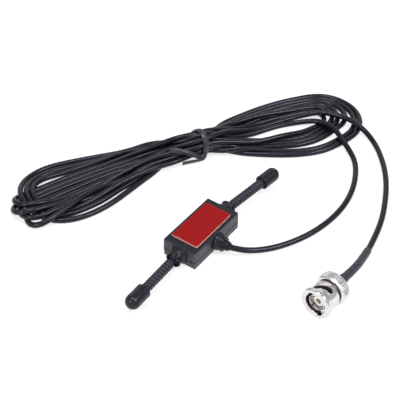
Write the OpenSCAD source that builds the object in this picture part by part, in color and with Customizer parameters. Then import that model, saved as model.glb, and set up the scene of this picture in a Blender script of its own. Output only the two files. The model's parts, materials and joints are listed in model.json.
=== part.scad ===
// Glass-mount dipole antenna with a thin coaxial lead and a bayonet plug.
// Millimetres. +Z up, +X along the two arms, -Y on the lead's side.
// The origin is the centre of the box's resting face. The tape side is on top.

/* [Box] */
// Length of the box along the arms
box_len = 34; // [30:0.5:40]
// Width of the box
box_wid = 17.4; // [16:0.2:22]
// Height of the two shells together
box_high = 9.2; // [8.8:0.1:12]
// Height of the parting line above the resting face
split_high = 3.7; // [3.5:0.1:4.0]
// Wall thickness of the shells
wall = 1.2; // [1:0.1:1.5]
// How far each shell draws in from the parting line to its flat face
draft = 0.3; // [0.1:0.05:0.5]

/* [Tape] */
// Length of the foam tape
tape_len = 26.4; // [20:0.2:29]
// Width of the foam tape
tape_wid = 14; // [8:0.2:14.4]
// Thickness of the foam
foam_thick = 0.8; // [0.5:0.1:1.2]
// Thickness of the release liner
liner_thick = 0.12; // [0.1:0.01:0.2]

/* [Arms] */
// Height of the arms' axis above the resting face
arm_high = 4.6; // [4.4:0.1:4.8]
// Distance from a flex point to the centre of its cap's round end
arm_len = 32; // [28:0.5:40]
// Radius over the sleeve's ribs
rib_r = 1.95; // [1.8:0.05:2.1]
// Pitch of the ribs
rib_pitch = 1.9; // [1.5:0.1:2.5]
// Radius of the end caps
cap_r = 3.25; // [2.8:0.05:3.6]
// Length of the straight part of an end cap
cap_len = 8; // [6:0.5:10]
// How far the left arm bends towards the lead's side at rest, in degrees
left_bend = 1.5; // [0:0.5:5]
// How far the right arm bends towards the lead's side at rest, in degrees
right_bend = 6.5; // [0:0.5:10]

/* [Lead] */
// Diameter of the coaxial cable
cable_d = 2.8; // [2.6:0.1:3]
// Height of the tied hank
hank_high = 9.6; // [8:0.2:12]
// Width of the twist tie
tie_wid = 4; // [3:0.5:5]

/* [Plug] */
// Radius of the knurled ring, the plug's largest
knurl_r = 7.25; // [7.2:0.05:7.3]
// Length of the coupling nut
nut_len = 15; // [14.8:0.1:15.5]
// Bore of the coupling nut at its mouth, as radius
mouth_r = 4.9; // [4.85:0.01:4.95]
// Radius of the centre pin
pin_r = 0.675; // [0.66:0.005:0.69]
// Travel of the coupling nut along the plug against its spring washer
nut_travel = 0.8; // [0.4:0.1:0.8]

/* [Hidden] */

$fn = 48;
eps = 0.01;
half_len = box_len / 2;
half_wid = box_wid / 2;
half_tie = 5.5;
cable_r = cable_d / 2;
tape_top = box_high + foam_thick;

// Arms, all measured from the flex point
flex_x = half_len + 2.5;
neck_r = 1.7;
neck_len = 4;
collar_len = 4.5;
collar_cup_r = 2.9;
stem_r = 2.4;
stem_len = wall + draft + 0.05;
inner_flange_r = 3.2;
inner_flange_len = 0.4;
terminal_r = 1.8;
ball_r = 1.2;
seat_gap = 0.05;
rod_r = 0.8;
sleeve_start = 0.9;
cap_wall = 0.7;

// Gland and strain relief, measured out from the box's side
gland_len = 4.2;
relief_len = 2.6;

// Plug, measured back from its mouth
plug_mouth = [-9.4, -64.9, knurl_r];
plug_yaw = -6.4;
cavity_x = 9.4;
cavity_r = 5.65;
flange_x = 9.45;
flange_end = 10.6;
flange_r = 5.6;
shank_r = 4.25;
spring_wid = 0.5;
washer_x = flange_end + spring_wid + nut_travel + 1;
ring_x = washer_x + 0.7;
ring_len = 0.6;
contact_r = 4.05;
contact_wall = 0.5;
contact_end = 12;
body_end = 16.4;
ferrule_end = 19;
ferrule_r = 1.95;
core_r = 1.2;
cam_start = -33;
cam_sweep = 60;
cam_steps = 8;
cam_r = 1.15;
cam_x = 3.5;
cam_rise = 2.5;

// A point on the plug's axis, measured back from its mouth
function on_axis(x) = plug_mouth + x * [cos(plug_yaw), sin(plug_yaw), 0];

// Centre line of the lead from the strain relief to the hank
gland_route = [
    [0, -15.5, 4.6], [0, -17.2, 4.6], [1, -19.6, 4.1], [3.8, -22.2, 3.2], [8, -25.8, 2.2],
    [14, -30.2, 1.5], [20.5, -34, 1.4], [28, -37.4, 1.4], [36, -39.8, 1.4], [45, -41.3, 1.4],
    [54.5, -41.7, 1.4], [64, -40.6, 1.4], [73.5, -38, 1.4], [82.5, -34, 1.4], [90.5, -29, 1.4],
    [98, -22, 1.4]
];

// Centre line from the ferrule to the hank; the first stretch is in the heat-shrink sleeve
plug_route = concat([on_axis(ferrule_end), on_axis(ferrule_end + 4)], [
    [19, -67.9, 6.5], [25, -68, 5.2], [31, -67.4, 3.7], [36, -66.5, 2.5],
    [41, -65.3, 1.8], [47, -63.7, 1.4], [55, -61.8, 1.4], [63, -59.3, 1.4],
    [71, -56.1, 1.4], [79, -52.5, 1.4], [87, -48.2, 1.4], [94.5, -43.2, 1.4],
    [101.5, -37.4, 1.4], [108, -30.5, 1.4], [114, -22.5, 1.4]
]);
shrink_end = 5;

// The hank in plan: a waist at the tie and two round ends
tie_at = [51.5, 38];
tie_turn = -26;
left_end = [-14, 75];
left_end_r = 22.5;
right_end = [106, 2];
right_end_r = 25.5;
tie_gap = 1;
tie_thick = 0.9;

// ---- helpers ----

function unit(v) = v / norm(v);

function run_dir(path, i) =
    unit(path[min(i + 1, len(path) - 1)] - path[max(i - 1, 0)]);

// Points of one ring of a tube, square to the route
function ring(path, i, r, sides) =
    let (t = run_dir(path, i), s = unit(cross([0, 0, 1], t)), u = cross(t, s))
    [for (k = [0 : sides - 1])
        let (a = 360 * (k + 0.5) / sides) path[i] + r * (cos(a) * s + sin(a) * u)];

// A closed tube along a route, from one of its points to another
module tube(path, r, from, to, sides = 8) {
    n = to - from + 1;
    points = [for (i = [from : to]) each ring(path, i, r, sides)];
    walls = [for (i = [0 : n - 2], k = [0 : sides - 1])
        let (a = i * sides + k, b = i * sides + (k + 1) % sides)
        each [[a, b, b + sides], [a, b + sides, a + sides]]];
    first = [for (k = [0 : sides - 1]) sides - 1 - k];
    last = [for (k = [0 : sides - 1]) (n - 1) * sides + k];
    polyhedron(points, concat([first], walls, [last]), convexity = 10);
}

function arc(centre, r, from, to, steps = 16) =
    [for (i = [0 : steps]) let (a = from + (to - from) * i / steps)
        centre + r * [cos(a), sin(a)]];

// A round profile of [radius, distance] points turned about +X
module turned_x(profile) {
    rotate([0, 90, 0]) rotate_extrude($fn = 64) polygon(profile);
}

// A ring or plain disc along +X
module disc_x(r, from, to, bore = 0) {
    translate([from, 0, 0]) rotate([0, 90, 0]) difference() {
        cylinder(h = to - from, r = r, $fn = 64);
        if (bore > 0) translate([0, 0, -1]) cylinder(h = to - from + 2, r = bore, $fn = 64);
    }
}

// Side 1 is the right arm and side -1 the left, both drawn along +X
module at_flex(side, bend) {
    translate([side * flex_x, 0, arm_high])
        rotate([0, 0, side == 1 ? -bend : 180 + bend]) children();
}

module at_side(side) {
    translate([side * flex_x, 0, arm_high])
        rotate([0, 0, side == 1 ? 0 : 180]) children();
}

// Along the lead's way out of the box, drawn along +X
module at_gland() {
    translate([0, -half_wid, arm_high]) rotate([0, 0, -90]) children();
}

module at_plug() {
    translate(plug_mouth) rotate([0, 0, plug_yaw]) children();
}

// ---- box ----

// One half of the box, flat face down, open at the parting line
module shell(high) {
    slim = 2 * draft;
    difference() {
        translate([0, 0, high]) mirror([0, 0, 1])
            linear_extrude(high, scale = [(box_len - slim) / box_len, (box_wid - slim) / box_wid])
            square([box_len, box_wid], center = true);
        translate([0, 0, wall + (high - wall) / 2 + 0.5])
            cube([box_len - 2 * wall - slim, box_wid - 2 * wall - slim, high - wall + 1],
                center = true);
    }
}

// What both shells leave free for the collars and the gland
module side_holes() {
    for (side = [-1, 1]) at_side(side) disc_x(stem_r, -5, 1);
    at_gland() disc_x(stem_r, -4, 1);
}

module base_shell() {
    color([0.18, 0.17, 0.2]) difference() {
        union() {
            shell(split_high);
            for (x = [-9, 9]) translate([x, 0, wall]) cylinder(h = 1.2, r = 1.2);
            translate([half_len - 0.3, -half_wid + 1, split_high - 0.5]) cube([0.6, 1, 0.5]);
        }
        side_holes();
        translate([-half_len - 1, -half_wid + 1.6, split_high - 0.7]) cube([1.8, 1.4, 1]);
    }
}

module cover_shell() {
    color([0.2, 0.19, 0.22]) difference() {
        translate([0, 0, box_high]) mirror([0, 0, 1]) shell(box_high - split_high);
        side_holes();
    }
}

module circuit_board() {
    color([0.1, 0.35, 0.2]) translate([-13, -6, 2.4]) cube([26, 12, 0.8]);
}

module balun_core() {
    color([0.25, 0.25, 0.27]) translate([0, 2.4, 3.2]) difference() {
        cylinder(h = 1.8, r = 2.6);
        translate([0, 0, -1]) cylinder(h = 4, r = 1.3);
    }
}

module chip_parts() {
    color([0.75, 0.7, 0.6])
        for (x = [-8, -5.5, 5.5, 8]) translate([x - 0.5, 1, 3.2]) cube([1, 2, 0.6]);
}

// Two strips that carry the signal from the board to the arms' terminals
module feed_strips() {
    color([0.85, 0.65, 0.3])
        for (side = [-1, 1]) translate([side * 12.6, 0, 0]) union() {
            translate([-0.4, -1, 3.2]) cube([0.8, 2, arm_high - 3.2 + 0.2]);
            translate([side > 0 ? -0.4 : -2.4, -1, arm_high - 0.2]) cube([2.8, 2, 0.4]);
        }
}

// ---- tape ----

module tape_outline() {
    corner = 0.8;
    for (x = [-1, 1], y = [-1, 1])
        translate([x * (tape_len / 2 - corner), y * (tape_wid / 2 - corner)]) circle(r = corner);
    square([tape_len - 2 * corner, tape_wid], center = true);
    square([tape_len, tape_wid - 2 * corner], center = true);
}

module foam_tape() {
    color([0.85, 0.75, 0.74]) translate([0, 0, box_high])
        linear_extrude(foam_thick) tape_outline();
}

module tape_liner() {
    color([0.63, 0.1, 0.12]) translate([0, 0, tape_top])
        linear_extrude(liner_thick) tape_outline();
}

// ---- arms ----

// A bell-shaped boss with a deep cup, on a stem through the box's end wall
module collar(side) {
    base = half_len - flex_x;
    color([0.16, 0.15, 0.18]) at_side(side) difference() {
        turned_x([
            [0, base - stem_len - inner_flange_len],
            [inner_flange_r, base - stem_len - inner_flange_len],
            [inner_flange_r, base - stem_len], [stem_r, base - stem_len], [stem_r, base],
            [4.2, base], [4.1, base + 0.6], [3.5, base + 1.6], [3.25, base + 2.8],
            [3.35, base + 3.6], [3.75, base + 3.8], [3.8, base + 4.3],
            [3.6, base + collar_len], [0, base + collar_len]
        ]);
        disc_x(terminal_r, -6, 0.2);
        disc_x(collar_cup_r, 0, 4);
    }
}

// The metal stud that holds an arm's ball in a half-round seat
module terminal(side) {
    color([0.8, 0.65, 0.35]) at_side(side) difference() {
        disc_x(terminal_r, -5.2, 0);
        sphere(r = ball_r + seat_gap, $fn = 64);
        translate([-6.2, -2, -0.2 - eps]) cube([2, 4, 0.4 + 2 * eps]);
    }
}

module radiator(side, bend) {
    color([0.7, 0.7, 0.72]) at_flex(side, bend) rotate([0, 90, 0]) union() {
        sphere(r = ball_r, $fn = 64);
        cylinder(h = arm_len, r = rod_r, $fn = 64);
    }
}

// Smooth neck, then rounded ribs up into the cap
module sleeve(side, bend) {
    ribs = floor((arm_len - 3 - neck_len) / rib_pitch);
    groove = rib_r - 0.35;
    rib_half = rib_pitch / 2;
    top = [for (k = [0 : ribs - 1]) let (x = neck_len + k * rib_pitch)
        each [[groove, x], [rib_r - 0.05, x + 0.3 * rib_half],
            [rib_r, x + rib_half], [rib_r - 0.05, x + 1.7 * rib_half]]];
    last_x = neck_len + ribs * rib_pitch;
    color([0.2, 0.19, 0.24]) at_flex(side, bend) turned_x(concat(
        [[rod_r, sleeve_start], [neck_r, sleeve_start], [neck_r, neck_len]],
        top,
        [[groove, last_x], [rod_r, last_x]]
    ));
}

// A thin-walled rubber cap, round at the end and open towards the box
module cap(side, bend) {
    mouth = arm_len - cap_len;
    inner = cap_r - cap_wall;
    grip = arm_len - 5;
    color([0.2, 0.19, 0.24]) at_flex(side, bend) difference() {
        union() {
            disc_x(cap_r, mouth + 0.3, arm_len);
            disc_x(cap_r - 0.2, mouth, mouth + 0.3 + eps);
            intersection() {
                translate([arm_len, 0, 0]) sphere(r = cap_r, $fn = 64);
                disc_x(cap_r, arm_len, arm_len + cap_r + 1);
            }
        }
        disc_x(inner, mouth - 1, grip);
        disc_x(rib_r, grip - eps, arm_len - 1);
        disc_x(rod_r, arm_len - 1 - eps, arm_len + eps);
    }
}

module left_collar() collar(-1);
module right_collar() collar(1);
module left_terminal() terminal(-1);
module right_terminal() terminal(1);
module left_radiator() radiator(-1, left_bend);
module right_radiator() radiator(1, right_bend);
module left_sleeve() sleeve(-1, left_bend);
module right_sleeve() sleeve(1, right_bend);
module left_cap() cap(-1, left_bend);
module right_cap() cap(1, right_bend);

// ---- gland and the lead's end inside the box ----

module cable_gland() {
    color([0.14, 0.13, 0.16]) at_gland() difference() {
        turned_x([
            [0, -stem_len - inner_flange_len], [inner_flange_r, -stem_len - inner_flange_len],
            [inner_flange_r, -stem_len], [stem_r, -stem_len], [stem_r, 0],
            [4.2, 0], [4.15, 0.6], [4.05, 1.4], [3.8, 2.2], [3.4, 2.9], [3.3, 3.3],
            [3.6, 3.5], [3.6, 4], [3.4, gland_len], [0, gland_len]
        ]);
        disc_x(cable_r, -3, gland_len + 1);
    }
}

// A short grooved sleeve round the lead
module strain_relief() {
    start = gland_len;
    color([0.12, 0.11, 0.14]) at_gland() difference() {
        turned_x([
            [0, start], [2.5, start], [2.5, start + 0.8], [2.05, start + 0.9],
            [2.05, start + 1.1], [2.3, start + 1.2], [2.25, start + 1.9], [1.9, start + 2],
            [1.9, start + 2.2], [2.05, start + 2.3], [2, start + relief_len],
            [0, start + relief_len]
        ]);
        disc_x(cable_r, start - 1, start + relief_len + 1);
    }
}

module coax_tail() {
    color([0.16, 0.15, 0.19]) at_gland() disc_x(cable_r, -4.5, gland_len + relief_len, 0.75);
}

module coax_core() {
    color([0.9, 0.88, 0.82]) at_gland() disc_x(0.75, -6.5, gland_len + relief_len);
}

// ---- the free lead ----

module cord_gland_run() {
    color([0.16, 0.15, 0.19]) tube(gland_route, cable_r, 0, len(gland_route) - 1);
}

module cord_plug_run() {
    color([0.16, 0.15, 0.19]) tube(plug_route, cable_r, shrink_end, len(plug_route) - 1);
}

module heat_shrink() {
    color([0.22, 0.21, 0.26]) tube(plug_route, ferrule_r, 0, shrink_end);
}

module at_tie() {
    translate([tie_at.x, tie_at.y, 0]) rotate([0, 0, tie_turn]) children();
}

module cord_hank() {
    across = half_tie * [-sin(tie_turn), cos(tie_turn)];
    along = (tie_wid / 2 + 1) * [cos(tie_turn), sin(tie_turn)];
    color([0.16, 0.15, 0.19]) difference() {
        linear_extrude(hank_high) polygon(concat(
            [tie_at - along + across],
            arc(left_end, left_end_r, 55, 258),
            [tie_at - along - across, tie_at + along - across],
            arc(right_end, right_end_r, -128, 62),
            [tie_at + along + across]
        ));
        at_tie() translate([-tie_wid / 2 - 0.1, -half_tie - 5, -1])
            cube([tie_wid + 0.2, 2 * half_tie + 10, 1 + tie_gap]);
    }
}

// The tie's band, its twist on the lead's side and its two flat tails
module twist_tie() {
    band = half_tie + tie_thick;
    color([0.15, 0.14, 0.17]) at_tie() union() {
        difference() {
            translate([-tie_wid / 2, -band, tie_gap - tie_thick])
                cube([tie_wid, 2 * band, hank_high - tie_gap + 2 * tie_thick]);
            translate([-tie_wid / 2 - 1, -half_tie, tie_gap])
                cube([tie_wid + 2, 2 * half_tie, hank_high - tie_gap]);
        }
        translate([-1.5, -band - 1.6, 3]) cube([3, 1.7, 3]);
        for (turn = [-12, 8]) translate([0, -2, hank_high]) rotate([0, 0, turn])
            translate([-17, -1.4, 0]) cube([17, 2.8, tie_thick / 2]);
    }
}

// ---- plug ----

// A cam slot climbs from its entry behind the mouth to a round detent
module cam_slot() {
    rotate([cam_start, 0, 0]) translate([-1, -cam_r, 0]) cube([4.4, 2 * cam_r, 5.6]);
    for (step = [0 : cam_steps]) let (way = step / cam_steps)
        rotate([cam_start + cam_sweep * way, 0, 0])
            translate([cam_x + cam_rise * sin(90 * way), 0, 3.5]) cylinder(h = 5, r = cam_r);
}

module coupling_nut() {
    color([0.82, 0.82, 0.84]) at_plug() difference() {
        turned_x([
            [0, 0], [6.95, 0], [knurl_r, 0.3], [knurl_r, 1.8], [6.95, 2.1], [6.3, 2.3], [6.3, 9.2],
            [6.1, 9.5], [6.1, 10.1], [6.9, 10.4], [knurl_r, 10.7], [knurl_r, nut_len - 0.5],
            [knurl_r - 0.4, nut_len], [0, nut_len]
        ]);
        disc_x(mouth_r, -1, cavity_x + eps);
        disc_x(cavity_r, cavity_x, nut_len + 1);
        disc_x(cavity_r + 0.4, ring_x - 0.05, ring_x + ring_len + 0.05);
        for (turn = [0, 180]) rotate([turn, 0, 0]) cam_slot();
    }
}

module retaining_ring() {
    color([0.6, 0.6, 0.62]) at_plug()
        disc_x(cavity_r + 0.3, ring_x, ring_x + ring_len, shank_r + 0.3);
}

module thrust_washer() {
    color([0.75, 0.75, 0.77]) at_plug()
        disc_x(flange_r - 0.05, washer_x, ring_x - 0.05, shank_r + seat_gap);
}

module spring_washer() {
    color([0.6, 0.6, 0.62]) at_plug() disc_x(flange_r - 0.3, flange_end, flange_end + spring_wid, shank_r);
}

module gasket() {
    color([0.75, 0.3, 0.25]) at_plug() disc_x(4.75, flange_x - 0.9, flange_x, contact_r);
}

module plug_body() {
    color([0.8, 0.8, 0.82]) at_plug() difference() {
        turned_x([
            [0, flange_x], [flange_r, flange_x], [flange_r, flange_end], [shank_r, flange_end],
            [shank_r, body_end - 1], [3.6, body_end - 0.5], [2.6, body_end], [0, body_end]
        ]);
        disc_x(contact_r, flange_x - 1, contact_end);
        disc_x(core_r, contact_end - 1, body_end + 1);
    }
}

// A sleeve with four slots, so that its mouth can spring
module outer_contact() {
    color([0.85, 0.85, 0.87]) at_plug() difference() {
        disc_x(contact_r, 1, contact_end, contact_r - contact_wall);
        for (turn = [35, 125]) rotate([turn, 0, 0]) translate([0, -0.2, -5]) cube([6.5, 0.4, 10]);
    }
}

module insulator() {
    color([0.9, 0.9, 0.87]) at_plug() difference() {
        union() {
            disc_x(contact_r - contact_wall, 4, contact_end);
            disc_x(2.5, 2.4, 4 + eps);
        }
        disc_x(pin_r, 1, contact_end + 1);
    }
}

module centre_pin() {
    color([0.85, 0.7, 0.35]) at_plug() union() {
        disc_x(pin_r, 2, contact_end);
        intersection() {
            translate([2, 0, 0]) sphere(r = pin_r);
            disc_x(pin_r, 1, 2);
        }
    }
}

// The lead's insulated core, from the ferrule up to the pin
module plug_coax() {
    color([0.9, 0.88, 0.82]) at_plug() disc_x(core_r, contact_end, ferrule_end);
}

module crimp_ferrule() {
    color([0.75, 0.75, 0.77]) at_plug() disc_x(ferrule_r, body_end, ferrule_end, core_r);
}

base_shell();
cover_shell();
circuit_board();
balun_core();
chip_parts();
feed_strips();
foam_tape();
tape_liner();
left_collar();
right_collar();
left_terminal();
right_terminal();
left_radiator();
right_radiator();
left_sleeve();
right_sleeve();
left_cap();
right_cap();
cable_gland();
strain_relief();
coax_tail();
coax_core();
cord_gland_run();
cord_hank();
cord_plug_run();
twist_tie();
heat_shrink();
crimp_ferrule();
plug_coax();
plug_body();
outer_contact();
insulator();
centre_pin();
gasket();
spring_washer();
thrust_washer();
retaining_ring();
coupling_nut();
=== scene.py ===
"""Looks for the glass-mount dipole antenna: a box with two arms, a tied coaxial lead and a bayonet plug."""

import json
import math
import random

import bmesh
import bpy
import numpy as np
from mathutils import Matrix, Vector

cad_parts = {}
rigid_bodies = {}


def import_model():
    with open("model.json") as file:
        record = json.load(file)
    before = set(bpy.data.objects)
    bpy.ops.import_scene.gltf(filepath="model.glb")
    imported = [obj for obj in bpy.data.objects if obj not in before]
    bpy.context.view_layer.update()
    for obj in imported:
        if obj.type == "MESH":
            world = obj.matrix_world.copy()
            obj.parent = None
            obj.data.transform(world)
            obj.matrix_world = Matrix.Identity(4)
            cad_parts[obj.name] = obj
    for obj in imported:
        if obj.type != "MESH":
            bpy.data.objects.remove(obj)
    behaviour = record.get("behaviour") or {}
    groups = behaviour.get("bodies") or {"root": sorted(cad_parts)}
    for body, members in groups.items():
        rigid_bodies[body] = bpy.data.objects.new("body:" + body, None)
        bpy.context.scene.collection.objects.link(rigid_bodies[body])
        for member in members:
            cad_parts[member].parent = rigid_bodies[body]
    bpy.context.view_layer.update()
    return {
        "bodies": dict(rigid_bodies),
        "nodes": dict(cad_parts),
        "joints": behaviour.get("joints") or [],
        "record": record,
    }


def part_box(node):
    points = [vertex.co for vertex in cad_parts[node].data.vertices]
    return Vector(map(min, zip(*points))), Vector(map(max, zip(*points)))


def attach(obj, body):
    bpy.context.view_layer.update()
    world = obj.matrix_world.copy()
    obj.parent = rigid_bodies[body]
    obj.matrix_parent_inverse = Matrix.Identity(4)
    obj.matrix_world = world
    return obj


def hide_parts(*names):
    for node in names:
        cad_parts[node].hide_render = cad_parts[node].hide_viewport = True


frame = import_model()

MM = 0.001
ROOT = "box_and_lead"
rng = random.Random(7)

# ---- places, from the frame; shapes below are in millimetres in these places ----

JOINTS = {joint["name"]: joint for joint in frame["joints"]}
MOUNTS = {mount["name"]: mount for mount in frame["record"]["mounts"]}
# How far each arm is bent in the level plane, and lifted at its tip, in degrees
LEFT_BEND, LEFT_LIFT = 3.0, 1.5
RIGHT_BEND, RIGHT_LIFT = 8.0, 2.5

cover_low, cover_high = (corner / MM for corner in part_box("cover_shell"))
HALF_LEN, HALF_WID = cover_high.x, cover_high.y
SPLIT_Z, TOP_Z = cover_low.z, cover_high.z
SIZE = Matrix.Scale(MM, 4)


def place(point, turn, lift=0):
    """Millimetres at a point of the frame, with X turned about the vertical and lifted, in degrees."""
    about_z = Matrix.Rotation(math.radians(turn), 4, "Z")
    about_y = Matrix.Rotation(math.radians(-lift), 4, "Y")
    return Matrix.Translation(Vector(point)) @ about_z @ about_y @ SIZE


LEFT_FLEX = JOINTS["left_arm_flex"]["pos_m"]
RIGHT_FLEX = JOINTS["right_arm_flex"]["pos_m"]
FLEX_X = RIGHT_FLEX[0] / MM
ARM_Z = RIGHT_FLEX[2] / MM
PLUG_MOUTH = Vector(MOUNTS["bayonet_plug"]["pos_m"])
PLUG_BACK = -Vector(MOUNTS["bayonet_plug"]["axis"])
AT_BOX = place((0, 0, 0), 0)
AT_COLLAR = {"left": place(LEFT_FLEX, 180), "right": place(RIGHT_FLEX, 0)}
AT_ARM = {
    "left": place(LEFT_FLEX, 180 + LEFT_BEND, LEFT_LIFT),
    "right": place(RIGHT_FLEX, -RIGHT_BEND, RIGHT_LIFT),
}
AT_GLAND = place((0, -HALF_WID * MM, ARM_Z * MM), -90)
AT_PLUG = place(PLUG_MOUTH, math.degrees(math.atan2(PLUG_BACK.y, PLUG_BACK.x)))

# ---- camera ----

AIM = Vector((22.04, 16.83, 0)) * MM
CAMERA_WAY = math.radians(35.95)
CAMERA_HIGH = math.radians(41.6)
CAMERA_FAR = 454.5 * MM
LENS_MM = 85.6
SENSOR_MM = 36


def make_camera():
    level = Vector((math.cos(CAMERA_WAY), math.sin(CAMERA_WAY), 0))
    look = level * math.cos(CAMERA_HIGH) - Vector((0, 0, math.sin(CAMERA_HIGH)))
    data = bpy.data.cameras.new("camera")
    data.sensor_width = SENSOR_MM
    data.lens = LENS_MM
    data.clip_start = 0.01
    camera = bpy.data.objects.new("camera", data)
    camera.location = AIM - look * CAMERA_FAR
    camera.rotation_mode = "QUATERNION"
    camera.rotation_quaternion = look.to_track_quat("-Z", "Y")
    bpy.context.scene.collection.objects.link(camera)
    bpy.context.scene.camera = camera


make_camera()

# ---- the lead: its route in millimetres, then the hank's turns settle on each other ----

CABLE_R = 1.4
CABLE_D = 2 * CABLE_R
FERRULE_END = 19

GLAND_RUN = [
    (0, -15.5, 4.6), (0, -17.2, 4.6), (1, -19.6, 4.1), (3.8, -22.2, 3.2), (8, -25.8, 2.2),
    (14, -30.2, 1.5), (20.5, -34, 1.4), (28, -37.4, 1.4), (36, -39.8, 1.4), (45, -41.3, 1.4),
    (54.5, -41.7, 1.4), (64, -40.6, 1.4), (73.5, -38, 1.4), (82.5, -34, 1.4), (90.5, -29, 1.4),
    (96.4, -22.7, 3.4),
]
GLAND_OVER = [
    (100.3, -14.6, 4.8), (102.8, -7.3, 4.8), (102.6, -0.2, 5), (98.6, 8.2, 5), (92.8, 15, 5.5),
    (85.8, 19.8, 6.5), (76, 24.5, 8), (66, 29.5, 10),
]
PLUG_OVER = [
    (66, 31.5, 11), (78, 26, 9.4), (88, 21.4, 8.5), (97.7, 17, 7.5), (105, 12.3, 6.8), (112.3, 4.4, 6),
    (114.3, -2.4, 5.5), (115, -9.2, 5), (114.2, -15.7, 4.4),
]
PLUG_RUN = [
    (112.6, -22.6, 2.8), (108.5, -30.5, 1.4), (101.5, -37.4, 1.4), (94.5, -43.2, 1.4),
    (87, -48.2, 1.4), (79, -52.5, 1.4), (71, -56.1, 1.4), (63, -59.3, 1.4), (55, -61.8, 1.4),
    (46.8, -63.5, 1.4), (41.6, -64.6, 1.7), (36.4, -65.5, 2.2), (30.9, -66.3, 3.4), (25, -67.2, 4.9),
    (19, -67.8, 6.4),
]

# Where the heat-shrink over the ferrule ends
SHRINK_END = PLUG_RUN[11]

# The hank's own frame: a middle, an axis along it and one across it
HANK_MIDDLE = np.array([52.0, 37.0])
HANK_TURN = math.radians(-26)
ALONG = np.array([math.cos(HANK_TURN), math.sin(HANK_TURN)])
ACROSS = np.array([-math.sin(HANK_TURN), math.cos(HANK_TURN)])
TIE_ALONG = -0.9
TIE_ACROSS = 0.6
TIE_Z = 6.6
TIE_R = 6.4
# Half of the stretch where the passes run straight through the tie, and of the stretch that the band holds
PASS_HALF = 5
BAND_HALF = 4

# Each turn's two lobes: reach, middle across, radius of the round end, bow of the far side, bow of the
# near side, kink of the near side, and the heights of the far side, the end and the near side
LEFT_LOBES = [
    (95, 2.9, 20.8, 4.5, 2.5, 3.3, (1.4, 4.5, 1.4)), (92, 3, 16, 2.5, 3.5, 3.3, (2, 4.6, 2)),
    (89.5, 1.9, 13.2, 2.5, 3, 2.5, (4.2, 4.6, 3.2)), (98.6, -3.6, 8.8, 4.5, 1.8, 1.2, (1.4, 4.2, 3)),
    (97.2, -6.8, 7.3, 3, 5.6, 1.3, (1.4, 3.2, 5)), (98.4, -0.9, 7.4, 4.5, 4.2, 2, (1.4, 4.2, 7)),
    (97.4, 3.2, 7.5, 6, 4.8, 2, (1.4, 4.2, 7)),
]
RIGHT_LOBES = [
    (87.5, -8, 21, 9.5, -7, 2.6, (1.4, 1.4, 1.4)), (84.7, -8, 18.2, 9.5, -6.3, 2.6, (1.6, 1.4, 1.4)),
    (83, -3, 13, 6.5, -7.8, 2.5, (3.8, 2.6, 1.4)), (78, -2, 11, 4.5, -7.5, 2.5, (1.6, 1.6, 1.4)),
    (76, -2.2, 11.4, 4, -6, 2.2, (3.8, 2.6, 1.6)), (69.5, -2.4, 9.6, 4, -5, 1.5, (1.8, 1.8, 3.4)),
]

# How far the turns may spread beside the middle line, at distances along it from the hank's middle
NEAR_SPREAD = (
    (-85, -14.5), (-75, -17.5), (-65, -17), (-55, -14.5), (-45, -10.5), (-35, -6), (-25, -2), (-10, -0.5),
    (0, -1), (8, -5.6), (20, -13.8), (30, -20), (40, -25.3), (50, -28.8), (60, -29.3),
)
FAR_SPREAD = (
    (-75, 24.4), (-65, 24), (-55, 22.2), (-45, 19), (-35, 17.4), (-25, 16.4), (-15, 15), (-6, 13.2), (1, 14),
    (25, 15.5), (40, 16.9), (50, 17.1), (60, 16.3), (70, 14.5),
)
HIGH_LEANS = 1.14
# The strip of table that shows between the outermost near turns and the rest: start, end, how far in
LEFT_GAP = (-84, -38, 4.8)
RIGHT_GAP = (22, 62, 8.2)
# A lobe starts and ends this far from the hank's middle, and reaches at least as far as the second
LOBE_IN, LOBE_OUT = 10, 75
# How the turns settle: knots of a spline and samples on it, the gap between turns, and the rounds, of
# which the last few go without weight
KNOT_STEP = 7.0
PER_SPAN = 3
APART = 1.02 * CABLE_D
ROUNDS = 120
CALM_AFTER = 102
WEIGHT = 0.12
HURRY = 1.7
OUTLINE_PULL = 0.4
STIFFNESS, CALM_STIFFNESS = 0.12, 0.04


def hank_point(along, across, z):
    return np.array([*(HANK_MIDDLE + ALONG * along + ACROSS * across), z])


def tie_slots():
    """Where the fourteen passes lie in the tie: four inside ten, as (across, up) from its middle."""
    slots = []
    for count, radius, first in ((4, 2, 45), (10, 4.8, 90)):
        for k in range(count):
            angle = math.radians(first + 360 * k / count)
            slots.append((radius * math.cos(angle), radius * math.sin(angle)))
    slots.sort()
    near = sorted(slots[:7], key=lambda slot: slot[1])
    far = sorted(slots[7:], key=lambda slot: slot[1])
    return [far[6]] + far[:6], near


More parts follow.
